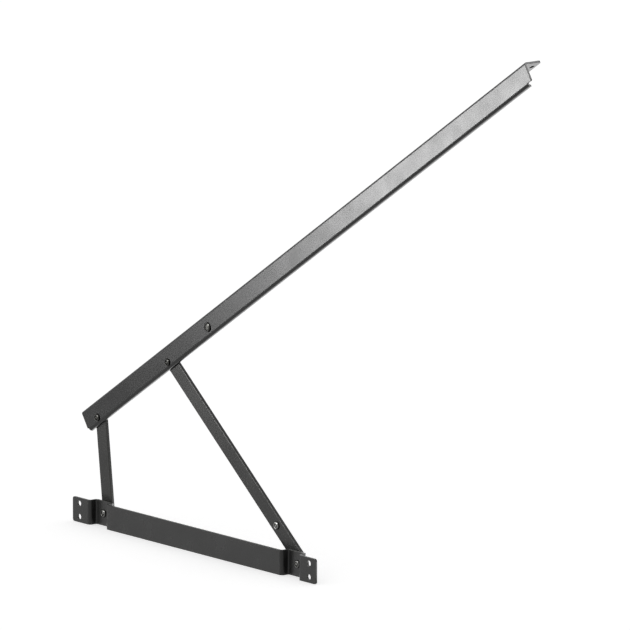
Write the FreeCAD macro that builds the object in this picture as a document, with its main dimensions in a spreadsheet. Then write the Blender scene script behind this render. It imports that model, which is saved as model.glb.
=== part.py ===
import FreeCAD, Part
import math
import os

import Sketcher
from FreeCAD import Placement, Rotation, Vector

# Bed lift mechanism: a folded base bracket, a short and a long link and a
# folded lift arm, joined by four rivets into a four-bar linkage.
# Origin: the face that lies on the bed's side board, at the middle of the
# bracket's length and height. +X runs along the bracket towards the long
# link, +Y goes away from the board into the bed box, +Z is up. Millimetres.

doc = FreeCAD.newDocument("BedLiftMechanism")

SIZES = [
    # base bracket, one folded strip
    ("bar_length", 440.0),              # middle bar, web to web
    ("pad_width", 39.6),                # pivot pad, web to web
    ("tab_width", 43.2),                # screw tab, web to end
    ("strip_height", 40.0),
    ("strip_thickness", 3.0),
    ("strip_bend", 3.0),                # inside bend radius
    ("recess_depth", 14.0),             # board face to the front of a pivot pad
    ("tab_corner", 4.0),
    ("tab_hole_diameter", 9.0),
    ("tab_hole_inset", 16.6),           # from the tab's end
    ("tab_hole_spacing", 21.5),
    ("short_pivot_inset", 21.73),        # from the middle bar's left end
    ("long_pivot_inset", 21.32),         # from the middle bar's right end
    # links, flat bar
    ("link_width", 25.6),
    ("link_thickness", 5.0),
    ("link_edge", 0.8),                 # broken front edges
    ("link_plane", 22.0),               # board face to the front of the links
    ("short_link_length", 152.88),      # between pivots
    ("long_link_length", 419.43),
    ("short_link_lean", 6.457),          # degrees off upright, arm raised
    # lift arm, one folded sheet
    ("arm_length", 1280.5),
    ("arm_plane", 15.6),                # board face to the front of the arm
    ("arm_wall", 35.4),
    ("arm_flange", 34.0),
    ("arm_lip", 6.1),
    ("arm_thickness", 3.0),
    ("arm_top_bend", 1.0),              # inside bend radii
    ("arm_lip_bend", 2.5),
    ("arm_corner", 2.0),
    ("flange_corner", 5.0),
    ("lip_relief_upper", 10.0),         # lip cut back from the arm's ends
    ("lip_relief_lower", 3.0),
    ("arm_end_pivot", 32.5),            # lower end of the arm to its first pivot
    ("arm_pivot_spacing", 212.91),
    ("arm_pivot_drop", 24.7),           # top of the arm down to the pivots
    ("arm_stud_along", 368.6),          # lower end of the arm to the stud
    ("arm_stud_drop", 19.9),
    ("flange_hole_diameter", 8.0),
    ("flange_hole_inset", 15.0),        # from each end of the arm
    ("flange_hole_depth", 25.5),        # from the front of the arm
    ("flange_hole_count", 4.0),
    # pivot rivets with their spacers
    ("rivet_diameter", 8.0),
    ("rivet_head_diameter", 13.0),
    ("rivet_head_height", 2.8),
    ("rivet_head_crown", 8.0),          # flat top of the head
    ("rivet_tail_diameter", 12.0),
    ("rivet_tail_height", 2.5),
    ("rivet_tail_crown", 7.0),
    ("rim_height", 1.0),                # straight side of heads and tails
    ("spacer_diameter", 10.2),
    ("bore_clearance", 0.05),           # radial, every shank in its hole
    ("side_play", 0.3),                 # link to spacer and to rivet tail
    # studs that carry the flat eyes of the gas spring
    ("stud_end", 36.0),                 # board face to the ends of the studs
    ("stud_diameter", 7.0),
    ("stud_chamfer", 1.0),
    ("stud_groove_diameter", 6.0),      # seat of the retaining ring
    ("stud_groove_width", 0.8),
    ("stud_groove_inset", 2.5),         # from the stud's end
    ("stud_nut_width", 13.0),           # across flats
    ("stud_nut_thickness", 3.0),
    ("arm_stud_head_diameter", 15.5),
    ("arm_stud_head_height", 2.6),
    ("arm_stud_head_crown", 10.8),
    ("arm_stud_socket", 9.0),           # across flats
    ("arm_stud_socket_depth", 1.2),
    ("link_stud_head_diameter", 13.0),
    ("link_stud_head_height", 2.8),
    ("link_stud_head_crown", 8.6),
    ("link_stud_along", 78.2),          # from the long link's lower pivot
]

sheet = doc.addObject("Spreadsheet::Sheet", "Sizes")
for row, (name, number) in enumerate(SIZES, start=1):
    sheet.set("A%d" % row, name)
    sheet.set("B%d" % row, str(number))
    sheet.setAlias("B%d" % row, name)
doc.recompute()


def size(name):
    """A driving dimension, read from the sheet."""
    return float(sheet.get(name))


def value(text):
    """The number that an expression gives."""
    return float(sheet.evalExpression(text))


# Building blocks

BODIES = {}


def new_body(name):
    body = doc.addObject("PartDesign::Body", name)
    body.Label = name
    BODIES[name] = body
    return body


def new_sketch(body, name, plane, raised=None):
    """A sketch on one of the body's own planes, raised along its normal."""
    sketch = body.newObject("Sketcher::SketchObject", name)
    support = [f for f in body.Origin.OriginFeatures if f.Role == plane][0]
    sketch.AttachmentSupport = [(support, "")]
    sketch.MapMode = "FlatFace"
    if raised:
        sketch.setExpression("AttachmentOffset.Base.z", raised)
    return sketch


def hold_point(sketch, index, which, x, y):
    """Hold a point of the sketch at the place that two expressions give."""
    for kind, axis, text in (("DistanceX", -2, x), ("DistanceY", -1, y)):
        at = value(text)
        if abs(at) < 1e-9:
            sketch.addConstraint(
                Sketcher.Constraint("PointOnObject", index, which, axis))
            continue
        ends = (-1, 1, index, which) if at > 0 else (index, which, -1, 1)
        number = sketch.addConstraint(Sketcher.Constraint(kind, *ends, abs(at)))
        sketch.setExpression("Constraints[%d]" % number,
                             text if at > 0 else "-(%s)" % text)


def add_circle(sketch, x, y, diameter):
    """A circle whose centre and diameter follow expressions."""
    circle = Part.Circle(Vector(value(x), value(y), 0), Vector(0, 0, 1),
                         value(diameter) / 2)
    index = sketch.addGeometry(circle, False)
    number = sketch.addConstraint(
        Sketcher.Constraint("Diameter", index, value(diameter)))
    sketch.setExpression("Constraints[%d]" % number, diameter)
    hold_point(sketch, index, 3, x, y)


def add_outline(sketch, corners):
    """A closed outline of straight lines, each corner held by expressions."""
    points = [Vector(value(x), value(y), 0) for x, y in corners]
    first = sketch.GeometryCount
    count = len(points)
    sketch.addGeometry([Part.LineSegment(points[k], points[(k + 1) % count])
                        for k in range(count)], False)
    for k, (x, y) in enumerate(corners):
        sketch.addConstraint(Sketcher.Constraint(
            "Coincident", first + k, 2, first + (k + 1) % count, 1))
        hold_point(sketch, first + k, 1, x, y)


def add_slot(sketch, length, width):
    """A round-ended outline from the origin along X, of a length and width."""
    span, radius = value(length), value(width) / 2
    right = Part.Arc(Vector(span, -radius, 0), Vector(span + radius, 0, 0),
                     Vector(span, radius, 0))
    left = Part.Arc(Vector(0, radius, 0), Vector(-radius, 0, 0), Vector(0, -radius, 0))
    sketch.addGeometry([
        Part.LineSegment(Vector(0, -radius, 0), Vector(span, -radius, 0)), right,
        Part.LineSegment(Vector(span, radius, 0), Vector(0, radius, 0)), left], False)
    for here in range(4):
        sketch.addConstraint(Sketcher.Constraint("Tangent", here, 2, (here + 1) % 4, 1))
    sketch.addConstraint(Sketcher.Constraint("Equal", 1, 3))
    number = sketch.addConstraint(Sketcher.Constraint("Radius", 3, radius))
    sketch.setExpression("Constraints[%d]" % number, width + " / 2")
    hold_point(sketch, 3, 3, "0", "0")
    hold_point(sketch, 1, 3, length, "0")


def hexagon(across_flats):
    """Corners of a hexagon with two of them on the X axis."""
    corner = across_flats + " / sqrt(3)"
    half = across_flats + " / (2 * sqrt(3))"
    flat = across_flats + " / 2"
    return [(corner, "0"), (half, flat), ("-" + half, flat),
            ("-" + corner, "0"), ("-" + half, "-" + flat), (half, "-" + flat)]


def pad(body, sketch, length, symmetric=False, backwards=False):
    feature = body.newObject("PartDesign::Pad", sketch.Name + "Pad")
    feature.Profile = sketch
    feature.SideType = "Symmetric" if symmetric else "One side"
    feature.Reversed = backwards
    feature.setExpression("Length", length)
    body.Tip = feature


def pocket(body, sketch, length=None):
    """Cut both ways from the sketch, right through or to a total length."""
    doc.recompute()
    volume = body.Tip.Shape.Volume
    feature = body.newObject("PartDesign::Pocket", sketch.Name + "Pocket")
    feature.Profile = sketch
    feature.SideType = "Symmetric"
    if length:
        feature.Type = "Length"
        feature.setExpression("Length", length)
    else:
        feature.Type = "ThroughAll"
    body.Tip = feature
    doc.recompute()
    if feature.Shape.isNull() or feature.Shape.Volume > volume - 1e-3:
        raise RuntimeError(sketch.Name + " cuts nothing")
    return feature


def dress(body, kind, name, amount, chosen):
    """Fillet or chamfer the edges of the body's tip that a test picks."""
    doc.recompute()
    base = body.Tip
    picked = ["Edge%d" % n for n, edge in enumerate(base.Shape.Edges, start=1)
              if chosen(edge)]
    if not picked:
        raise RuntimeError(name + " finds no edge")
    feature = body.newObject("PartDesign::" + kind, name)
    feature.Base = (base, picked)
    feature.setExpression("Radius" if kind == "Fillet" else "Size", amount)
    body.Tip = feature


def revolve(body, corners):
    """A full turn of an outline about the body's Y axis."""
    profile = new_sketch(body, body.Name + "_profile", "XY_Plane")
    add_outline(profile, corners)
    feature = body.newObject("PartDesign::Revolution", body.Name + "_turned")
    feature.Profile = profile
    feature.ReferenceAxis = (profile, ["V_Axis"])
    feature.Angle = 360
    body.Tip = feature


def runs_along(edge, direction):
    return (isinstance(edge.Curve, Part.Line)
            and abs(abs(edge.Curve.Direction.dot(direction)) - 1) < 1e-6)


def near(a, b):
    return abs(a - b) < 1e-3


# Linkage: pivot points with the arm raised

BAR_END = "Sizes.bar_length / 2"
SHORT_FOOT_X = "-(%s + Sizes.short_pivot_inset)" % BAR_END
LONG_FOOT_X = "%s + Sizes.long_pivot_inset" % BAR_END


def solve_linkage():
    """Pivot centres in X and Z, from the base pivots and the link lengths."""
    short_foot = Vector(value(SHORT_FOOT_X), 0, 0)
    long_foot = Vector(value(LONG_FOOT_X), 0, 0)
    lean = math.radians(size("short_link_lean"))
    short_top = short_foot + Vector(
        -math.sin(lean), 0, math.cos(lean)) * size("short_link_length")
    reach = long_foot - short_top
    arm, link = size("arm_pivot_spacing"), size("long_link_length")
    along = (arm ** 2 - link ** 2 + reach.Length ** 2) / (2 * reach.Length)
    across = math.sqrt(arm ** 2 - along ** 2)
    way = Vector(reach).normalize()
    long_top = short_top + way * along + Vector(-way.z, 0, way.x) * across
    return short_foot, long_foot, short_top, long_top


def turned(way):
    """Rotation about Y that points a body's X along a direction in X and Z."""
    return Rotation(Vector(0, 1, 0), -math.degrees(math.atan2(way.z, way.x)))


SHORT_FOOT, LONG_FOOT, SHORT_TOP, LONG_TOP = solve_linkage()
SHORT_TURN = turned(SHORT_TOP - SHORT_FOOT)
LONG_TURN = turned(LONG_TOP - LONG_FOOT)
ARM_TURN = turned(LONG_TOP - SHORT_TOP)


def place(body, point, plane, turn=Rotation()):
    """Set a body's origin at a pivot, on a plane beyond the board's face."""
    body.Placement = Placement(Vector(point.x, value(plane), point.z), turn)


# Planes and bores that mating pieces share

RIVET_BORE = "Sizes.rivet_diameter + 2 * Sizes.bore_clearance"
STUD_BORE = "Sizes.stud_diameter + 2 * Sizes.bore_clearance"
PAD_FRONT = "Sizes.recess_depth"
PAD_BACK = "Sizes.recess_depth + Sizes.strip_thickness"
ARM_FRONT = "Sizes.arm_plane"
ARM_BACK = "Sizes.arm_plane + Sizes.arm_thickness"
LINK_FRONT = "Sizes.link_plane"
SPACER_BACK = "Sizes.link_plane - Sizes.side_play"
TAIL_SEAT = "Sizes.link_plane + Sizes.link_thickness + Sizes.side_play"


def between(front, back):
    return "(%s) - (%s)" % (back, front)


# Base bracket: the strip seen from above, folded at four webs on each side

def make_base_bracket():
    body = new_body("base_bracket")
    bar = BAR_END
    web = bar + " + Sizes.pad_width"
    end = web + " + Sizes.tab_width"
    thick = "Sizes.strip_thickness"
    # corners of the right half: the front face, then the back face
    front = [(bar, "0"), (bar, PAD_FRONT), (web, PAD_FRONT), (web, "0"), (end, "0")]
    back = [(end, thick), (web + " + " + thick, thick),
            (web + " + " + thick, PAD_BACK), (bar + " - " + thick, PAD_BACK),
            (bar + " - " + thick, thick)]
    right = front + back
    left = [("-(%s)" % x, y) for x, y in reversed(right)]
    strip = new_sketch(body, "Strip", "XY_Plane")
    add_outline(strip, right + left)
    pad(body, strip, "Sizes.strip_height", symmetric=True)

    inside = [back[1], front[2], front[1], back[4]]
    outside = [front[3], back[2], back[3], front[0]]

    def bend_at(corners):
        places = [(value(x), value(y)) for x, y in corners]
        return lambda edge: runs_along(edge, Vector(0, 0, 1)) and any(
            near(abs(edge.CenterOfMass.x), x) and near(edge.CenterOfMass.y, y)
            for x, y in places)

    dress(body, "Fillet", "InsideBends", "Sizes.strip_bend", bend_at(inside))
    dress(body, "Fillet", "OutsideBends", "Sizes.strip_bend + Sizes.strip_thickness",
          bend_at(outside))
    dress(body, "Fillet", "TabCorners", "Sizes.tab_corner",
          lambda edge: runs_along(edge, Vector(0, 1, 0))
          and near(abs(edge.CenterOfMass.x), value(end)))

    holes = new_sketch(body, "BracketHoles", "XZ_Plane")
    tab_hole = "%s - Sizes.tab_hole_inset" % end
    for x in (tab_hole, "-(%s)" % tab_hole):
        for z in ("-Sizes.tab_hole_spacing / 2", "Sizes.tab_hole_spacing / 2"):
            add_circle(holes, x, z, "Sizes.tab_hole_diameter")
    add_circle(holes, SHORT_FOOT_X, "0", RIVET_BORE)
    add_circle(holes, LONG_FOOT_X, "0", RIVET_BORE)
    pocket(body, holes)


# Links: flat bar with round ends, pivot at the body's origin, along +X

def make_link(name, length, foot, turn, stud_bore=None):
    body = new_body(name)
    outline = new_sketch(body, name + "_outline", "XZ_Plane")
    add_slot(outline, length, "Sizes.link_width")
    pad(body, outline, "Sizes.link_thickness", backwards=True)
    dress(body, "Chamfer", name + "_edge", "Sizes.link_edge",
          lambda edge: all(near(v.Point.y, 0) for v in edge.Vertexes))
    bores = new_sketch(body, name + "_bores", "XZ_Plane")
    add_circle(bores, "0", "0", RIVET_BORE)
    add_circle(bores, length, "0", RIVET_BORE)
    if stud_bore:
        add_circle(bores, stud_bore, "0", STUD_BORE)
    pocket(body, bores)
    place(body, foot, LINK_FRONT, turn)


# Lift arm: flange, wall and lip in one sheet, origin at the lower pivot

ARM_LOWER_END = "-Sizes.arm_end_pivot"
ARM_UPPER_END = "Sizes.arm_length - Sizes.arm_end_pivot"
ARM_TOP = "Sizes.arm_pivot_drop"
ARM_BOTTOM = "Sizes.arm_pivot_drop - Sizes.arm_wall"
LIP_BEND_LINE = ARM_BOTTOM + " + Sizes.arm_lip_bend + Sizes.arm_thickness"
ARM_STUD = ("Sizes.arm_stud_along - Sizes.arm_end_pivot",
            "Sizes.arm_pivot_drop - Sizes.arm_stud_drop")


def make_lift_arm():
    body = new_body("lift_arm")
    thick = "Sizes.arm_thickness"
    under, over = ARM_TOP + " - " + thick, ARM_BOTTOM + " + " + thick
    profile = new_sketch(body, "ArmProfile", "YZ_Plane", ARM_LOWER_END)
    add_outline(profile, [
        ("Sizes.arm_flange", ARM_TOP), ("0", ARM_TOP), ("0", ARM_BOTTOM),
        ("Sizes.arm_lip", ARM_BOTTOM), ("Sizes.arm_lip", over), (thick, over),
        (thick, under), ("Sizes.arm_flange", under)])
    pad(body, profile, "Sizes.arm_length")

    def bend_at(y, z):
        return lambda edge: (runs_along(edge, Vector(1, 0, 0))
                             and near(edge.CenterOfMass.y, value(y))
                             and near(edge.CenterOfMass.z, value(z)))

    for name, radius, y, z in (
            ("TopBendInside", "Sizes.arm_top_bend", thick, under),
            ("TopBendOutside", "Sizes.arm_top_bend + " + thick, "0", ARM_TOP),
            ("LipBendInside", "Sizes.arm_lip_bend", thick, over),
            ("LipBendOutside", "Sizes.arm_lip_bend + " + thick, "0", ARM_BOTTOM)):
        dress(body, "Fillet", name, radius, bend_at(y, z))

    reliefs = new_sketch(body, "LipReliefs", "XZ_Plane")
    below = ARM_BOTTOM + " - " + thick
    for end, inner in ((ARM_LOWER_END, ARM_LOWER_END + " + Sizes.lip_relief_lower"),
                       (ARM_UPPER_END, ARM_UPPER_END + " - Sizes.lip_relief_upper")):
        away = " - " if end == ARM_LOWER_END else " + "
        beyond = end + away + "Sizes.arm_lip"
        add_outline(reliefs, [(beyond, below), (inner, below),
                              (inner, LIP_BEND_LINE), (beyond, LIP_BEND_LINE)])
    pocket(body, reliefs)

    bores = new_sketch(body, "WallBores", "XZ_Plane")
    add_circle(bores, "0", "0", RIVET_BORE)
    add_circle(bores, "Sizes.arm_pivot_spacing", "0", RIVET_BORE)
    add_circle(bores, *ARM_STUD, STUD_BORE)
    pocket(body, bores)

    def at_an_end(edge):
        x = edge.CenterOfMass.x
        return near(x, value(ARM_LOWER_END)) or near(x, value(ARM_UPPER_END))

    dress(body, "Fillet", "WallCorners", "Sizes.arm_corner",
          lambda edge: runs_along(edge, Vector(0, 1, 0)) and at_an_end(edge)
          and near(edge.CenterOfMass.z, value(LIP_BEND_LINE)))
    dress(body, "Fillet", "FlangeCorners", "Sizes.flange_corner",
          lambda edge: runs_along(edge, Vector(0, 0, 1)) and at_an_end(edge)
          and near(edge.CenterOfMass.y, size("arm_flange")))

    hole = new_sketch(body, "FlangeHole", "XY_Plane")
    add_circle(hole, ARM_LOWER_END + " + Sizes.flange_hole_inset",
               "Sizes.flange_hole_depth", "Sizes.flange_hole_diameter")
    cut = pocket(body, hole)
    row = body.newObject("PartDesign::LinearPattern", "FlangeHoleRow")
    row.Originals = [cut]
    row.Direction = (hole, ["H_Axis"])
    row.setExpression("Length", "Sizes.arm_length - 2 * Sizes.flange_hole_inset")
    row.setExpression("Occurrences", "Sizes.flange_hole_count")
    body.Tip = row
    place(body, SHORT_TOP, ARM_FRONT, ARM_TURN)


# Rivets and studs are turned about Y, with the head's seat at the origin

def head_corners(kind, shank):
    """Axis to shank over a head: flat crown, cone, short straight rim."""
    radius, height = "Sizes.%s_diameter / 2" % kind, "-Sizes.%s_height" % kind
    crown = "Sizes.%s_crown / 2" % kind
    return [("0", height), (crown, height), (radius, "-Sizes.rim_height"),
            (radius, "0"), (shank, "0")]


RIVET_SHANK = "Sizes.rivet_diameter / 2"
STUD_SHANK = "Sizes.stud_diameter / 2"


def tail_corners(seat):
    """Shank to axis over the peened tail beyond its seat."""
    radius, top = "Sizes.rivet_tail_diameter / 2", seat + " + Sizes.rivet_tail_height"
    return [(RIVET_SHANK, seat), (radius, seat), (radius, seat + " + Sizes.rim_height"),
            ("Sizes.rivet_tail_crown / 2", top), ("0", top)]


def make_rivet(name, point, front):
    body = new_body(name)
    revolve(body, head_corners("rivet_head", RIVET_SHANK)
            + tail_corners(between(front, TAIL_SEAT)))
    place(body, point, front)


def make_parted_rivet(name, point, front):
    """A rivet parted at the link: the head stays, the tail turns with the link."""
    head, tail = new_body(name), new_body(name + "_tail")
    end = between(front, SPACER_BACK)
    revolve(head, head_corners("rivet_head", RIVET_SHANK) + [(RIVET_SHANK, end), ("0", end)])
    place(head, point, front)
    revolve(tail, [("0", "0"), (RIVET_SHANK, "0")]
            + tail_corners(between(LINK_FRONT, TAIL_SEAT)))
    place(tail, point, LINK_FRONT)


def make_spacer(name, point, wall_back):
    """A ring on the rivet, from the wall's back to the side play of the link."""
    body = new_body(name)
    ring = new_sketch(body, name + "_ring", "XZ_Plane")
    add_circle(ring, "0", "0", "Sizes.spacer_diameter")
    add_circle(ring, "0", "0", RIVET_BORE)
    pad(body, ring, between(wall_back, SPACER_BACK), backwards=True)
    place(body, point, wall_back)


def make_stud(name, kind, point, front, turn):
    """Head, shank through wall or link, and a pin with a ring groove."""
    body = new_body(name)
    end = between(front, "Sizes.stud_end")
    groove = "Sizes.stud_groove_diameter / 2"
    lower, upper = [end + " - Sizes.stud_groove_inset" + extra
                    for extra in (" - Sizes.stud_groove_width", "")]
    revolve(body, head_corners(kind, STUD_SHANK) + [
        (STUD_SHANK, lower), (groove, lower), (groove, upper), (STUD_SHANK, upper),
        (STUD_SHANK, end + " - Sizes.stud_chamfer"),
        (STUD_SHANK + " - Sizes.stud_chamfer", end), ("0", end)])
    place(body, point, front, turn)
    return body


def make_nut(name, point, front, turn):
    body = new_body(name)
    outline = new_sketch(body, name + "_outline", "XZ_Plane")
    add_outline(outline, hexagon("Sizes.stud_nut_width"))
    add_circle(outline, "0", "0", STUD_BORE)
    pad(body, outline, "Sizes.stud_nut_thickness", backwards=True)
    place(body, point, front, turn)


def make_studs():
    arm, link = BODIES["lift_arm"].Placement, BODIES["long_link"].Placement
    on_arm = arm.multVec(Vector(value(ARM_STUD[0]), 0, value(ARM_STUD[1])))
    on_link = link.multVec(Vector(size("link_stud_along"), 0, 0))

    stud = make_stud("arm_stud", "arm_stud_head", on_arm, ARM_FRONT, ARM_TURN)
    socket = new_sketch(stud, "Socket", "XZ_Plane", "Sizes.arm_stud_head_height")
    add_outline(socket, hexagon("Sizes.arm_stud_socket"))
    pocket(stud, socket, "2 * Sizes.arm_stud_socket_depth")
    make_nut("arm_stud_nut", on_arm, ARM_BACK, ARM_TURN)

    make_stud("link_stud", "link_stud_head", on_link, LINK_FRONT, LONG_TURN)


make_base_bracket()
make_link("short_link", "Sizes.short_link_length", SHORT_FOOT, SHORT_TURN)
make_link("long_link", "Sizes.long_link_length", LONG_FOOT, LONG_TURN,
          "Sizes.link_stud_along")
make_lift_arm()
make_parted_rivet("rivet_base_short", SHORT_FOOT, PAD_FRONT)
make_rivet("rivet_base_long", LONG_FOOT, PAD_FRONT)
make_rivet("rivet_arm_short", SHORT_TOP, ARM_FRONT)
make_rivet("rivet_arm_long", LONG_TOP, ARM_FRONT)
make_spacer("spacer_base_short", SHORT_FOOT, PAD_BACK)
make_spacer("spacer_base_long", LONG_FOOT, PAD_BACK)
make_spacer("spacer_arm_short", SHORT_TOP, ARM_BACK)
make_spacer("spacer_arm_long", LONG_TOP, ARM_BACK)
make_studs()
doc.recompute()

# Every object must have come out whole before anything is written.
for item in doc.Objects:
    if "Invalid" in item.State or "Error" in item.State:
        raise RuntimeError("%s did not recompute" % item.Label)
for name, body in BODIES.items():
    shape = body.Shape
    if shape.isNull() or not shape.isValid() or len(shape.Solids) != 1:
        raise RuntimeError("%s is not one sound solid" % name)

os.makedirs("parts", exist_ok=True)
for name, body in BODIES.items():
    body.Shape.exportStep(os.path.join("parts", name + ".step"))
    box = body.Shape.BoundBox
    print("%-24s %8.1f mm3  %7.1f x %5.1f x %6.1f mm" % (
        name, body.Shape.Volume, box.XLength, box.YLength, box.ZLength))

raised = math.degrees(math.atan2((LONG_TOP - SHORT_TOP).z, (LONG_TOP - SHORT_TOP).x))
print("arm raised %.2f degrees, pivots %s" % (raised, [
    (round(p.x, 2), round(p.z, 2)) for p in (SHORT_FOOT, LONG_FOOT, SHORT_TOP, LONG_TOP)]))
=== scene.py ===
# %% [markdown]
# # A bed lift mechanism, dressed in Blender
# A folded bracket is screwed to the side board of a bed. A short and a long
# flat link stand on it and carry a long folded arm, which lifts the bed base.
# All of it is powder-coated steel, and the rivets and studs are plated.
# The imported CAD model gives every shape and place. This file adds the finishes,
# the worked heads of the fasteners, the light and the camera.

import math

import bpy
import numpy as np
from mathutils import Matrix, Vector


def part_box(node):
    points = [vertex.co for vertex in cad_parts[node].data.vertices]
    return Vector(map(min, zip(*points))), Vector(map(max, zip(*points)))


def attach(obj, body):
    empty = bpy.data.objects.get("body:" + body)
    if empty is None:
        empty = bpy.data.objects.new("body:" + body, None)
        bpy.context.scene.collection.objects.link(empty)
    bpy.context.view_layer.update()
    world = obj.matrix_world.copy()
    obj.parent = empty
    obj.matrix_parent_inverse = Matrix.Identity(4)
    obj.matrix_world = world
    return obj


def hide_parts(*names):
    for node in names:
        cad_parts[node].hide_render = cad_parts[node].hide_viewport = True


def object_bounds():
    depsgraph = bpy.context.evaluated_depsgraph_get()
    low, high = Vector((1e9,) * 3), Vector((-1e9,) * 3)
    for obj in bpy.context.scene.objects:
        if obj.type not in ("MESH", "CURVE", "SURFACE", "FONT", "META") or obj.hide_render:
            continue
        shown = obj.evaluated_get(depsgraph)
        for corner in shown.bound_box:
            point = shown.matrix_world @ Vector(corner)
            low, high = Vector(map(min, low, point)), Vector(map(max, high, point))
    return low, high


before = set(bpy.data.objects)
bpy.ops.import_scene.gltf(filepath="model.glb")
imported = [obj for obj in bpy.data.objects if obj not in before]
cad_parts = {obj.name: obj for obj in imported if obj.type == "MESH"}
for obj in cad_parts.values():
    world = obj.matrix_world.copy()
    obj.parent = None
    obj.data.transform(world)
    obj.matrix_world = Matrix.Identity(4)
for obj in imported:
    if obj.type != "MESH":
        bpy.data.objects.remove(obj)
cad_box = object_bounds()
MM = 0.001
print("CAD box in mm:", [[round(v / MM, 1) for v in corner] for corner in cad_box])

# %% [markdown]
# ## The camera
# The photograph was taken from far away with a long lens, so edges that run
# alike in space stay nearly parallel in the picture. A camera 15.7 m away with
# a 571 mm lens does the same. Its direction is given as two angles: how far it
# stands round from the front, and how far above the object.

# %% Place the camera
AZIMUTH, ELEVATION, DISTANCE = math.radians(50.43), math.radians(11.06), 15.659
AIM_RIGHT, AIM_UP = 0.1919, 0.3518          # m from the origin, across the view
SENSOR, LENS, FARTHEST = 36.0, 571.4, 100.0  # mm, mm and m

away = Vector((math.sin(AZIMUTH) * math.cos(ELEVATION),
               -math.cos(AZIMUTH) * math.cos(ELEVATION), math.sin(ELEVATION)))
right = Vector((math.cos(AZIMUTH), math.sin(AZIMUTH), 0))
up = away.cross(right)
aim = right * AIM_RIGHT + up * AIM_UP

lens = bpy.data.cameras.new("view")
lens.sensor_width, lens.lens, lens.clip_end = SENSOR, LENS, FARTHEST
camera = bpy.data.objects.new("view", lens)
turn = Matrix((right, up, away)).transposed().to_4x4()
camera.matrix_world = Matrix.Translation(aim + away * DISTANCE) @ turn
bpy.context.scene.collection.objects.link(camera)
bpy.context.scene.camera = camera
bpy.context.scene.view_settings.view_transform = "Standard"
print("camera at", [round(v, 3) for v in camera.matrix_world.translation])

# %% [markdown]
# ## Helpers for every material
# Colours are written as they look on a screen, and the renderer wants them in
# proportion to the light, so one function changes them over. A second one adds
# a node, sets its values and links what is handed to it as a socket. The last
# two start a material and put one in place of what a CAD node had.


# %% Colours and nodes
def linear(hex_colour):
    """sRGB hex to linear: c / 12.92 near black, ((c + 0.055) / 1.055) ^ 2.4 above."""
    c = np.array([int(hex_colour[k:k + 2], 16) for k in (1, 3, 5)]) / 255
    c = np.where(c <= 0.04045, c / 12.92, ((c + 0.055) / 1.055) ** 2.4)
    return (*c.tolist(), 1.0)


def add_node(tree, kind, inputs, **settings):
    """Add a node to a tree. A socket among the inputs is linked, a value is set."""
    node = tree.nodes.new(kind)
    for name, value in settings.items():
        setattr(node, name, value)
    for name, value in inputs.items():
        if isinstance(value, bpy.types.NodeSocket):
            tree.links.new(value, node.inputs[name])
        else:
            node.inputs[name].default_value = value
    return node


def new_material(name):
    """An empty material with a Principled BSDF, and its tree and shader."""
    material = bpy.data.materials.new(name)
    material.use_nodes = True
    tree = material.node_tree
    return material, tree, tree.nodes["Principled BSDF"]


def dress(node_name, material):
    """Give a CAD node one material in place of what it had."""
    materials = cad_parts[node_name].data.materials
    materials.clear()
    materials.append(material)


# %% [markdown]
# ## Floor, backdrop and light
# The picture's background is white. The world and the floor are white for what
# the camera sees and for what a glossy surface mirrors, and give a plain light
# otherwise. The floor is matt and takes the soft shadow of the world's light.

# %% The white world
WHITE, ROOM_LEVEL = 1.0, 0.6
PAPER, PAPER_GLOW = "#E6E6E6", 0.56

world = bpy.data.worlds.new("white_room")
bpy.context.scene.world = world
world.use_nodes = True
tree = world.node_tree
tree.nodes.clear()


def ray_kinds(tree):
    """Two sockets: 1 for glossy and transmission rays, and 1 for these and camera rays."""
    path = add_node(tree, "ShaderNodeLightPath", {}).outputs
    mirrored_ray = add_node(tree, "ShaderNodeMath", {
        0: path["Is Glossy Ray"], 1: path["Is Transmission Ray"]}, operation="MAXIMUM")
    seen_ray = add_node(tree, "ShaderNodeMath", {
        0: path["Is Camera Ray"], 1: mirrored_ray.outputs[0]}, operation="MAXIMUM")
    return mirrored_ray.outputs[0], seen_ray.outputs[0]


_, seen_ray = ray_kinds(tree)
lighting, background = (add_node(tree, "ShaderNodeBackground", {
    "Color": (1, 1, 1, 1), "Strength": level}).outputs[0] for level in (ROOM_LEVEL, WHITE))
room = add_node(tree, "ShaderNodeMixShader", {0: seen_ray, 1: lighting, 2: background})
add_node(tree, "ShaderNodeOutputWorld", {"Surface": room.outputs[0]})
print("world:", len(tree.nodes), "nodes")

# %% The floor that keeps the shadow
FLOOR_HALF, FLOOR_GAP = 30.0, 0.2 * MM      # m
floor_level = cad_box[0].z - FLOOR_GAP
sheet = bpy.data.meshes.new("floor")
sheet.from_pydata([(x * FLOOR_HALF, y * FLOOR_HALF, floor_level) for x, y in (
    (-1, -1), (1, -1), (1, 1), (-1, 1))], [], [(0, 1, 2, 3)])
floor = bpy.data.objects.new("floor", sheet)
bpy.context.scene.collection.objects.link(floor)

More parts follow.
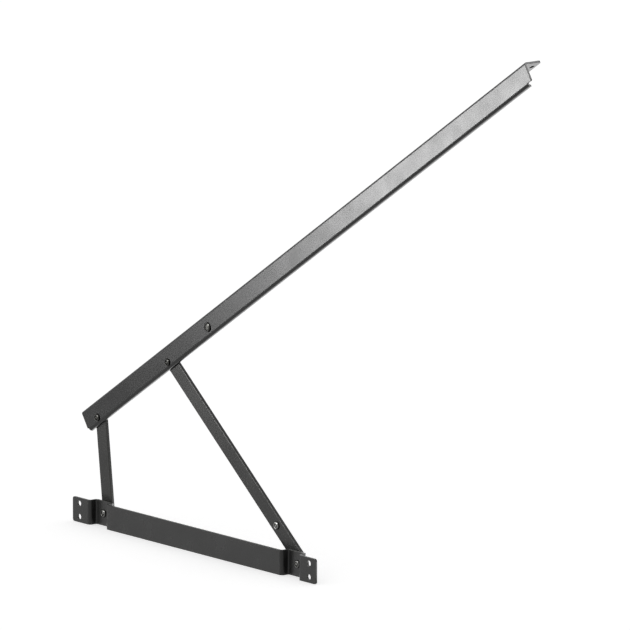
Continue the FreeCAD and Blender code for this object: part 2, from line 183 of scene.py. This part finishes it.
floor_paper, tree, shader = new_material("studio_paper")
tree.nodes.remove(shader)
mirrored_ray, seen_ray = ray_kinds(tree)
paper = add_node(tree, "ShaderNodeBsdfDiffuse", {"Color": linear(PAPER)})
strength = add_node(tree, "ShaderNodeMath", {0: seen_ray, 1: PAPER_GLOW}, operation="MULTIPLY")
glow = add_node(tree, "ShaderNodeEmission", {
    "Color": (1, 1, 1, 1), "Strength": strength.outputs[0]})
lit = add_node(tree, "ShaderNodeAddShader", {0: paper.outputs[0], 1: glow.outputs[0]})
white = add_node(tree, "ShaderNodeEmission", {"Color": (1, 1, 1, 1), "Strength": WHITE})
both = add_node(tree, "ShaderNodeMixShader", {
    0: mirrored_ray, 1: lit.outputs[0], 2: white.outputs[0]})
tree.links.new(both.outputs[0], tree.nodes["Material Output"].inputs["Surface"])
sheet.materials.append(floor_paper)
print("floor at z = %.1f mm" % (floor_level / MM))

# %% [markdown]
# ## The soft boxes
# A flat face is a dull mirror: a ray from the camera along -v leaves it along
# m = 2 (n . v) n - v, where n is the face's normal. Each soft box stands where
# one face mirrors it. Five strips side by side, each brighter than the last,
# are what the arm's wall mirrors, so it turns from dark to light on its way up.
# One box draws the bright crescents of the heads and the line along the long
# link's edge, and one lights the cut faces at the arm's upper end. A panel that
# lies low behind the object shines upwards, on the undersides of the arm's lip
# and flange. The floor takes no light from any of them, so its white stays even.


# %% Place a soft box in a mirror's direction
def mirrored(normal):
    """The direction in which a face with this normal shows the room: 2 (n . v) n - v."""
    normal = Vector(normal).normalized()
    return 2 * normal.dot(away) * normal - away


not_on_floor = bpy.data.collections.new("not_on_floor")
not_on_floor.objects.link(floor)
not_on_floor.collection_objects[0].light_linking.link_state = "EXCLUDE"


def soft_box(name, target, towards, distance, width, height, radiance, roll=0.0):
    """A rectangular lamp that faces a target. Its power is radiance x pi x its area."""
    lamp = bpy.data.lights.new(name, "AREA")
    lamp.shape, lamp.size, lamp.size_y = "RECTANGLE", width, height
    lamp.energy = radiance * math.pi * width * height
    box = bpy.data.objects.new(name, lamp)
    towards = towards.normalized()
    turn = (-towards).to_track_quat("-Z", "Y").to_matrix().to_4x4()
    box.matrix_world = (Matrix.Translation(Vector(target) + towards * distance)
                        @ turn @ Matrix.Rotation(math.radians(roll), 4, "Z"))
    box.visible_camera = False
    box.light_linking.receiver_collection = not_on_floor
    bpy.context.scene.collection.objects.link(box)
    print("%s: %.1f W at %s" % (name, lamp.energy, [
        round(v, 2) for v in box.matrix_world.translation]))


# %% Five strips for the arm's wall
ARM_FOOT, ARM_WAY = Vector((-0.2589, 0.0, 0.1519)), Vector((0.8365, 0.0, 0.548))
WALL = mirrored((0, -1, 0))
STRIP_DISTANCE, STRIP_HEIGHT, STRIP_ROLL = 2.3, 1.0, -38    # m, m and degrees
# Middle of the lit stretch from the arm's foot, its length, both in m, and radiance
STRIPS = ((0.38, 0.12, 1.7), (0.56, 0.24, 3.6), (0.80, 0.24, 6.3), (1.04, 0.24, 9.4),
          (1.48, 0.64, 15.0))
across_ray = ARM_WAY.cross(WALL).length     # how wide 1 m of the arm looks along the ray
for number, (along, reach, radiance) in enumerate(STRIPS):
    soft_box("box_wall_%d" % number, ARM_FOOT + ARM_WAY * along, WALL, STRIP_DISTANCE,
             reach * across_ray, STRIP_HEIGHT, radiance, roll=STRIP_ROLL)

# %% The other three boxes
HEADS, HEAD_SHOULDER = Vector((0, 0, 0.3)), (0.34, -0.85, 0.40)
ARM_TIP = ARM_FOOT + ARM_WAY * 1.25
UNDER_ARM, UPWARDS = Vector((0.05, 0.48, 0.4805)), Vector((0, 0, -1))
for name, target, towards, distance, width, height, radiance in (
        ("box_front_top", HEADS, mirrored(HEAD_SHOULDER), 2.2, 0.6, 0.6, 30.0),
        ("box_end_faces", ARM_TIP, mirrored(ARM_WAY), 1.6, 0.8, 0.8, 8.0),
        ("panel_below", UNDER_ARM, UPWARDS, 0.5, 1.3, 0.9, 3.2)):
    soft_box(name, target, towards, distance, width, height, radiance)

# %% [markdown]
# ## Powder-coated steel
# The bracket, the links and the arm are mild steel, sprayed with a satin black
# polyester powder and baked. The eye reads it from a dark body under a clear
# film: faint orange peel where the powder flowed, a fine grain, patches where
# the film is thicker, and corners where it is thin and rubbed lighter.
# The real peel is about 1.5 mm from crest to crest, less than the picture
# shows, so it is drawn at 4 mm.

# %% What the coat's patterns measure
FILM_PATCH, PEEL_PITCH, GRAIN_PITCH = 45 * MM, 4 * MM, 1.3 * MM
PEEL_HEIGHT, GRAIN_HEIGHT, WORN_EDGE = 0.006 * MM, 0.001 * MM, 0.9 * MM
COAT_ROUGHNESS, COAT_SPECULAR = (0.23, 0.29), 0.26


# %% The powder coat
def powder_coat(name, body_hex, thick_hex, worn_hex, shift):
    """Satin powder coat. shift moves the patterns, so that no two pieces match."""
    material, tree, shader = new_material(name)
    place = add_node(tree, "ShaderNodeTexCoord", {}).outputs["Object"]
    place = add_node(tree, "ShaderNodeMapping", {
        "Vector": place, "Location": (shift, 2 * shift, 3 * shift)}).outputs[0]
    film = add_node(tree, "ShaderNodeTexNoise", {
        "Vector": place, "Scale": 1 / FILM_PATCH, "Detail": 3.0, "Roughness": 0.55})
    grain = add_node(tree, "ShaderNodeTexNoise", {
        "Vector": place, "Scale": 1 / GRAIN_PITCH, "Detail": 2.0})
    peel = add_node(tree, "ShaderNodeTexNoise", {
        "Vector": place, "Scale": 1 / PEEL_PITCH, "Detail": 1.0})

    coat = add_node(tree, "ShaderNodeMix", {
        "Factor": film.outputs[0], 6: linear(body_hex), 7: linear(thick_hex)},
        data_type="RGBA")
    rounded_normal = add_node(tree, "ShaderNodeBevel", {"Radius": WORN_EDGE}, samples=6)
    true_normal = add_node(tree, "ShaderNodeNewGeometry", {}).outputs["Normal"]
    facing = add_node(tree, "ShaderNodeVectorMath", {
        0: rounded_normal.outputs[0], 1: true_normal}, operation="DOT_PRODUCT")
    edge = add_node(tree, "ShaderNodeMapRange", {
        "Value": facing.outputs["Value"], "From Min": 0.99, "From Max": 0.80})
    rubbed = add_node(tree, "ShaderNodeMath", {
        0: edge.outputs[0], 1: grain.outputs[0]}, operation="MULTIPLY")
    colour = add_node(tree, "ShaderNodeMix", {
        "Factor": rubbed.outputs[0], 6: coat.outputs[2], 7: linear(worn_hex)},
        data_type="RGBA")
    tree.links.new(colour.outputs[2], shader.inputs["Base Color"])

    rough = add_node(tree, "ShaderNodeMapRange", {
        "Value": film.outputs[0], "From Min": 0.3, "From Max": 0.7,
        "To Min": COAT_ROUGHNESS[0], "To Max": COAT_ROUGHNESS[1]})
    tree.links.new(rough.outputs[0], shader.inputs["Roughness"])
    normal = rounded_normal.outputs[0]
    for pattern, height in ((peel, PEEL_HEIGHT), (grain, GRAIN_HEIGHT)):
        normal = add_node(tree, "ShaderNodeBump", {
            "Height": pattern.outputs[0], "Distance": height, "Strength": 1.0,
            "Normal": normal}).outputs[0]
    tree.links.new(normal, shader.inputs["Normal"])
    shader.inputs["Specular IOR Level"].default_value = COAT_SPECULAR
    return material


# %% Coat the four sheet and bar pieces
# Node, material, the film's colour, its colour where thick, where worn, and shift
COATS = (
    ("base_bracket", "powder_coat_bracket", "#1A1A19", "#202020", "#4A4A46", 0.0),
    ("short_link", "powder_coat_short_link", "#171716", "#1D1D1C", "#4A4A46", 0.7),
    ("long_link", "powder_coat_long_link", "#171716", "#1D1D1C", "#4A4A46", 1.3),
    ("lift_arm", "powder_coat_arm", "#121212", "#161616", "#4A4A4A", 2.1))
for node_name, *finish in COATS:
    dress(node_name, powder_coat(*finish))
print("powder coat on", ", ".join(row[0] for row in COATS))

# %% [markdown]
# ## Plated steel
# The rivets are cold-headed and spun over, and the studs and the nut are turned
# from bar. Thin platings keep the metal's shine: black oxide on the arm, dull
# zinc on the bracket, brighter zinc on the link's stud and on the nut. The
# spinning tool and the lathe leave fine rings about the axis. The recesses, the
# grooves and the sides of the heads are painted nearly black: painted shade
# where light doesn't reach, with a little grease in it. The rings of a real lathe
# are 0.1 mm apart and can't be told apart here, so they are drawn at 0.5 mm.

# %% What the plating's patterns measure
BLOTCH, RING_PITCH = 6 * MM, 0.5            # m, and mm as the attribute has it
BLOTCH_HEIGHT, RING_HEIGHT = 0.05 * MM, 0.006 * MM
ROUGHNESS_SPREAD = 0.06


# %% The plating
def plated_steel(name, metal_hex, shade_and_grease_hex, roughness, shift):
    """Metal with rings about the piece's axis and painted shade in its hollows and round its
    rims, read from its own attributes.
    """
    material, tree, shader = new_material(name)
    place = add_node(tree, "ShaderNodeTexCoord", {}).outputs["Object"]
    place = add_node(tree, "ShaderNodeMapping", {
        "Vector": place, "Location": (shift, shift, shift)}).outputs[0]
    from_axis = add_node(tree, "ShaderNodeAttribute", {}, attribute_name="from_axis")
    shade_and_grease = add_node(tree, "ShaderNodeAttribute", {}, attribute_name="shade_and_grease")
    blotch = add_node(tree, "ShaderNodeTexNoise", {
        "Vector": place, "Scale": 1 / BLOTCH, "Detail": 3.0})

    # Painted shade, with some grease: where the attribute marks a recess or a rim, the metal
    # turns nearly black.
    shade_and_grease_mask = add_node(tree, "ShaderNodeMapRange", {
        "Value": shade_and_grease.outputs["Fac"], "From Min": 0.25, "From Max": 0.75})
    colour = add_node(tree, "ShaderNodeMix", {
        "Factor": shade_and_grease_mask.outputs[0], 6: linear(metal_hex), 7: linear(shade_and_grease_hex)},
        data_type="RGBA")
    tree.links.new(colour.outputs[2], shader.inputs["Base Color"])
    shader.inputs["Metallic"].default_value = 1.0
    rough = add_node(tree, "ShaderNodeMapRange", {
        "Value": blotch.outputs[0], "From Min": 0.3, "From Max": 0.7,
        "To Min": roughness - ROUGHNESS_SPREAD, "To Max": roughness + ROUGHNESS_SPREAD})
    tree.links.new(rough.outputs[0], shader.inputs["Roughness"])

    phase = add_node(tree, "ShaderNodeMath", {
        0: from_axis.outputs["Fac"], 1: 2 * math.pi / RING_PITCH}, operation="MULTIPLY")
    rings = add_node(tree, "ShaderNodeMath", {0: phase.outputs[0]}, operation="SINE")
    turned_skin = add_node(tree, "ShaderNodeBump", {
        "Height": rings.outputs[0], "Distance": RING_HEIGHT, "Strength": 1.0})
    skin = add_node(tree, "ShaderNodeBump", {
        "Height": blotch.outputs[0], "Distance": BLOTCH_HEIGHT, "Strength": 0.6,
        "Normal": turned_skin.outputs[0]})
    tree.links.new(skin.outputs[0], shader.inputs["Normal"])
    return material


# The second colour of each plating is nearly black: painted shade, with some grease, for
# recesses and rims.
dark_plating = plated_steel("black_oxide_rivet", "#3E3E3C", "#040404", 0.26, 0.2)
base_plating = plated_steel("dull_zinc_rivet", "#5E5E5C", "#070706", 0.33, 0.5)
light_plating = plated_steel("zinc_nickel_stud", "#747472", "#0A0A09", 0.30, 0.9)
spacers = [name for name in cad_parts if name.startswith("spacer")]
for node_name in spacers:
    dress(node_name, dark_plating)
print("plating: 3 materials, and on", ", ".join(spacers))

# %% [markdown]
# ## Turned pieces
# A rivet or a stud is a profile carried round an axis. Each row of the profile
# holds a radius, a place along the axis, how far the ring bends to a hexagon,
# and how much painted shade, with some grease, darkens it. A socket is then the same
# surface, with its hexagon share at 1.

# %% The angles round an axis
COLUMNS = 96
HERE = np.arange(COLUMNS)[None]
THERE = (HERE + 1) % COLUMNS
ANGLE = HERE * 2 * np.pi / COLUMNS
SIX = 1 / np.cos(ANGLE % (np.pi / 3) - np.pi / 6)   # a hexagon's radius over its flat's


# %% Round off a profile's corners
def rounded(corners, steps=5):
    """Turn corners (radius, along, rounding, hexagon, shade and grease) into rows.

    A corner P becomes the curve (1-s)^2 A + 2 s (1-s) P + s^2 B, where A and B
    lie its rounding away on the lines to the corners before and after it.
    """
    corners = np.array(corners, float)
    here, before, after = corners[1:-1], corners[:-2], corners[2:]

    def step_off(other):
        gap = np.linalg.norm((other - here)[:, :2], axis=1, keepdims=True)
        return here + (other - here) * here[:, 2:3] / gap

    a, b = step_off(before)[:, None], step_off(after)[:, None]
    s = np.linspace(0, 1, steps)[None, :, None]
    curve = (1 - s) ** 2 * a + 2 * s * (1 - s) * here[:, None] + s ** 2 * b
    rows = np.concatenate([corners[:1], curve.reshape(-1, 5), corners[-1:]])
    return rows[:, [0, 1, 3, 4]]


# %% Points, faces and pieces round an axis
def points_round(centre, reach, along, corner_at):
    """x = cx + reach cos(a + corner_at), y = along, z = cz + reach sin(a + corner_at)."""
    return np.stack([centre[0] + reach * np.cos(ANGLE + corner_at),
                     along + 0 * ANGLE,
                     centre[1] + reach * np.sin(ANGLE + corner_at)], -1).reshape(-1, 3)


def faces_between(rings, closed=False):
    """Four-sided faces from each ring of points to the next, and from the last
    ring back to the first where the profile is closed."""
    below = np.arange(rings if closed else rings - 1)[:, None] * COLUMNS
    above = (below + COLUMNS) % (rings * COLUMNS)
    return np.stack([below + HERE, above + HERE, above + THERE, below + THERE],
                    -1).reshape(-1, 4).tolist()


def turned_piece(name, points, faces, from_axis, shade_and_grease):
    """A smooth piece from points in mm, with the attributes that the plating reads."""
    mesh = bpy.data.meshes.new(name)
    mesh.from_pydata((points * MM).tolist(), [], faces)
    # from_axis draws the rings; the other attribute is painted shade, with some grease.
    for label, values in (("from_axis", from_axis), ("shade_and_grease", shade_and_grease)):
        layer = mesh.attributes.new(label, "FLOAT", "POINT")
        layer.data.foreach_set("value", values.reshape(-1).astype(np.float32))
    mesh.shade_smooth()
    piece = bpy.data.objects.new(name, mesh)
    bpy.context.scene.collection.objects.link(piece)
    piece.modifiers.new("even_normals", "WEIGHTED_NORMAL")
    return piece


# %% Carry a profile round its axis
def turned_surface(name, rows, centre, corner_at):
    """Carry rows (radius, along, hexagon, shade and grease), in mm, round an axis along Y.

    Reach = radius x (1 - h + h x six), with six = 1 / cos((a mod 60 deg) - 30 deg):
    the hexagon whose corner is at a = 0. The first and last rows are the poles.
    """
    radius, along, hexagon, shade_and_grease = rows[1:-1].T[:, :, None]
    reach = radius * (1 - hexagon + hexagon * SIX)
    rings = len(rows) - 2
    poles = [[centre[0], y, centre[1]] for y in rows[[0, -1], 1]]
    points = np.concatenate([points_round(centre, reach, along, corner_at), poles])

    last_ring, front_pole = (rings - 1) * COLUMNS, rings * COLUMNS
    back_pole = front_pole + 1
    front_fan = np.stack([0 * HERE + front_pole, HERE, THERE], -1)[0]
    back_fan = np.stack([last_ring + HERE, 0 * HERE + back_pole, last_ring + THERE], -1)[0]
    faces = faces_between(rings) + front_fan.tolist() + back_fan.tolist()
    from_axis = np.append(reach + 0 * ANGLE, [0, 0])
    # Painted shade, with some grease, for each point, from the profile's last column.
    shade_and_grease = np.append(shade_and_grease + 0 * ANGLE, rows[[0, -1], 3])
    return turned_piece(name, points, faces, from_axis, shade_and_grease)


# %% Volume, to see that the faces point outwards
def volume(piece):
    """Sum of (v0 . v1 x v2) / 6 over the triangles, in cubic mm: positive outwards."""
    mesh = piece.data
    mesh.calc_loop_triangles()
    points = np.zeros(len(mesh.vertices) * 3)
    mesh.vertices.foreach_get("co", points)
    corners = np.zeros(len(mesh.loop_triangles) * 3, int)
    mesh.loop_triangles.foreach_get("vertices", corners)
    t = (points.reshape(-1, 3) / MM)[corners.reshape(-1, 3)]
    t = t - t[0, 0]
    return float(np.einsum("ij,ij->i", t[:, 0], np.cross(t[:, 1], t[:, 2])).sum() / 6)


def take_place(piece, nodes, body, material):
    """Let a piece stand for CAD nodes, on their body and with their finish."""
    piece.data.materials.append(material)
    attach(piece, body)
    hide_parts(*nodes)
    print("%-24s %5d faces %8.1f mm3" % (piece.name, len(piece.data.polygons), volume(piece)))


# %% [markdown]
# ## The pivot rivets
# Each pivot turns on a rivet. Its head has a spun dish with a small nub in the
# middle, and its tail is peened to a low dome with a dimple. The axis, the
# front and the back of each rivet are read from its CAD box, so the dressed
# rivet sits in the same hole.


# %% Read an axis from a CAD node
def axis_of(node):
    """Centre in X and Z, front and back in Y, in mm, from the node's box."""
    low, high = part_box(node)
    middle = (low + high) / 2 / MM
    return (middle.x, middle.z), low.y / MM, high.y / MM


def direction(start, end):
    """The angle about Y from one node's axis to another's, X towards Z."""
    (x0, z0), (x1, z1) = axis_of(start)[0], axis_of(end)[0]
    return math.atan2(z1 - z0, x1 - x0)


along_arm = direction("rivet_arm_short", "rivet_arm_long")
along_link = direction("rivet_base_long", "rivet_arm_long")
print("arm at %.2f degrees, long link at %.2f" % (
    math.degrees(along_arm), math.degrees(along_link)))

# %% The rivet's head and tail
# Sizes in mm. A row is a radius, a place along, its rounding, hexagon, and painted shade with
# some grease.
SHANK, HEAD, HEAD_HEIGHT, TAIL, TAIL_HEIGHT = 4.0, 6.5, 2.8, 6.0, 2.5


# The last column paints shade into the dish's groove and down the head's side to the plate,
# where light doesn't reach.
def rivet_head(front):
    """Dished head, 13 mm across and 2.8 mm high, from the axis to the shank."""
    seat = front + HEAD_HEIGHT
    return [(0, front + 0.15, 0, 0, 0), (1.75, front + 0.2, 0.3, 0, 0),
            (2.25, front + 1.15, 0.2, 0, 1), (3.2, front + 1.15, 0.2, 0, 1),
            (3.8, front, 0.25, 0, 0.2), (4.35, front, 0.4, 0, 0),
            (HEAD, seat - 1.1, 0.4, 0, 0.9), (HEAD, seat, 0.15, 0, 1),
            (SHANK, seat, 0.1, 0, 1)]


# The tail's side, the edge at the plate and its dimple are painted dark the same way: painted
# shade.
def rivet_tail(back):
    """Peened tail, 12 mm across and 2.5 mm high, from the shank to the axis."""
    seat = back - TAIL_HEIGHT
    return [(SHANK, seat, 0.1, 0, 1), (TAIL, seat, 0.15, 0, 0.6),
            (TAIL, seat + 1.1, 0.6, 0, 0), (3.7, back - 0.05, 0.5, 0, 0),
            (1.5, back, 0.3, 0, 0.3), (0.9, back - 0.45, 0.2, 0, 1),
            (0, back - 0.5, 0, 0, 1)]


# %% Make the four rivets
# The rivet at the short link's foot is parted where the linkage is left open:
# its head stays in the bracket, and its tail turns with the link.
def cut_end(y):
    """The shank's plain end at y, from its edge to the axis."""
    return [(SHANK, y, 0.1, 0, 1), (0, y, 0, 0, 1)]


def cut_start(y):
    """The same end, from the axis to its edge."""
    return cut_end(y)[::-1]


RIVETS = (
    ("dished_rivet_base_long", "rivet_base_long", "base", base_plating, rivet_head, rivet_tail),
    ("dished_rivet_arm_short", "rivet_arm_short", "lift_arm", dark_plating, rivet_head,
     rivet_tail),
    ("dished_rivet_arm_long", "rivet_arm_long", "lift_arm", dark_plating, rivet_head,
     rivet_tail),
    ("dished_rivet_base_short", "rivet_base_short", "base", base_plating, rivet_head, cut_end),
    ("peened_tail_base_short", "rivet_base_short_tail", "short_link", base_plating, cut_start,
     rivet_tail))
for name, node_name, body, plating, front_part, back_part in RIVETS:
    centre, front, back = axis_of(node_name)
    piece = turned_surface(name, rounded(front_part(front) + back_part(back)), centre, 0)
    take_place(piece, [node_name], body, plating)

# %% [markdown]
# ## The studs of the gas spring
# A gas spring pushes between two studs. The arm's stud has a round flange with
# a hexagon socket and is held by a thin nut. The link's stud has a plain coned
# head and no nut. Each one ends in a pin behind, where the eye of the spring
# sits and a retaining ring snaps into a groove.

# %% The pin that both studs share
PIN, GROOVE, GROOVE_WIDTH, GROOVE_INSET, PIN_CONE = 3.5, 3.0, 0.8, 2.5, 1.0


# The ring groove and the end's dimple are painted dark: painted shade.
def spring_pin(back):
    """A 7 mm pin with a 0.8 mm ring groove and a coned end, up to the axis."""
    upper = back - GROOVE_INSET
    lower = upper - GROOVE_WIDTH
    return [(PIN, lower, 0.1, 0, 0), (GROOVE, lower, 0.1, 0, 1), (GROOVE, upper, 0.1, 0, 1),
            (PIN, upper, 0.1, 0, 0), (PIN, back - PIN_CONE, 0.3, 0, 0),
            (PIN - PIN_CONE, back, 0.25, 0, 0), (0.8, back, 0.1, 0, 0.2),
            (0.5, back - 0.5, 0.1, 0, 1), (0, back - 0.5, 0, 0, 1)]


# %% The arm's stud, with its socket
FLANGE, FLANGE_HEIGHT, SOCKET, SOCKET_DEPTH = 7.75, 2.6, 4.5, 1.2
centre, front, back = axis_of("arm_stud")
bottom, seat = front + SOCKET_DEPTH, front + FLANGE_HEIGHT
# The socket and the flange's rim are painted dark: painted shade, with some grease.
head = [(0, bottom, 0, 0, 0.1), (3.4, bottom, 0.2, 0.9, 0.1),
        (SOCKET - 0.1, bottom, 0.15, 1, 0.9), (SOCKET, front + 0.4, 0.2, 1, 0.7),
        (SOCKET + 0.25, front, 0.15, 0.8, 0), (5.5, front, 0.9, 0, 0),
        (FLANGE, front + 1.5, 0.4, 0, 0.9), (FLANGE, seat, 0.15, 0, 1),
        (PIN, seat, 0.1, 0, 1)]
piece = turned_surface("socket_stud", rounded(head + spring_pin(back)), centre, along_arm)
take_place(piece, ["arm_stud"], "lift_arm", dark_plating)

# %% The long link's stud
centre, front, back = axis_of("link_stud")
seat = front + HEAD_HEIGHT
# The dish's groove and the head's side are painted dark: painted shade, with some grease.
head = [(0, front + 0.25, 0, 0, 0), (1.6, front + 0.3, 0.3, 0, 0.2),
        (2.2, front + 0.95, 0.2, 0, 0.8), (2.9, front + 0.95, 0.2, 0, 0.8),
        (3.6, front, 0.25, 0, 0), (4.4, front, 0.4, 0, 0),
        (HEAD, front + 1.6, 0.4, 0, 0.9), (HEAD, seat, 0.15, 0, 1), (PIN, seat, 0.1, 0, 1)]
piece = turned_surface("dished_stud", rounded(head + spring_pin(back)), centre, along_link)
take_place(piece, ["link_stud"], "long_link", light_plating)

# %% [markdown]
# ## The nut
# A nut is a hexagonal bar whose corners are turned off by a cone on both faces.
# At each place along it, the radius is the hexagon's or the cone's, whichever
# is smaller, and that alone draws the curved edges on its flats.

# %% A hexagon nut with coned corners
# In mm, apart from the cone's slope
FLAT, CONE, CONE_SLOPE, CONE_DEPTHS = 6.5, 6.25, 1.73, np.array([0, 0.15, 0.3, 0.45, 0.6, 0.75])
# The bore and its mouth, within 5 mm of the axis, are painted dark: painted shade, with some
# grease.
BORE, MOUTH, MOUTH_DEPTH, SHADED_WITHIN, SHADE_AND_GREASE = 3.55, 3.85, 0.25, 5.0, 0.8


def nut_surface(name, node, corner_at):
    """A closed band of rings: bore, front face, flats and cones, back face, bore.

    Outer radius = min(flat x six, cone + slope x depth), where depth is the
    distance from the nearer face, and six is as above.
    """
    centre, front, back = axis_of(node)
    thick = back - front
    outside = np.concatenate([CONE_DEPTHS, thick - CONE_DEPTHS[::-1]])
    depth = np.minimum(outside, thick - outside)[:, None]
    outer = np.minimum(FLAT * SIX, CONE + CONE_SLOPE * depth)
    bore = np.array([[BORE], [MOUTH]]) + 0 * ANGLE
    radius = np.concatenate([bore, outer, bore[::-1]])
    along = np.concatenate([[MOUTH_DEPTH, 0], outside, [thick, thick - MOUTH_DEPTH]])
    points = points_round(centre, radius, (front + along)[:, None], corner_at)
    return turned_piece(name, points, faces_between(len(along), closed=True),
                        radius, (radius < SHADED_WITHIN) * SHADE_AND_GREASE)


piece = nut_surface("coned_nut_arm", "arm_stud_nut", along_arm)
take_place(piece, ["arm_stud_nut"], "lift_arm", light_plating)
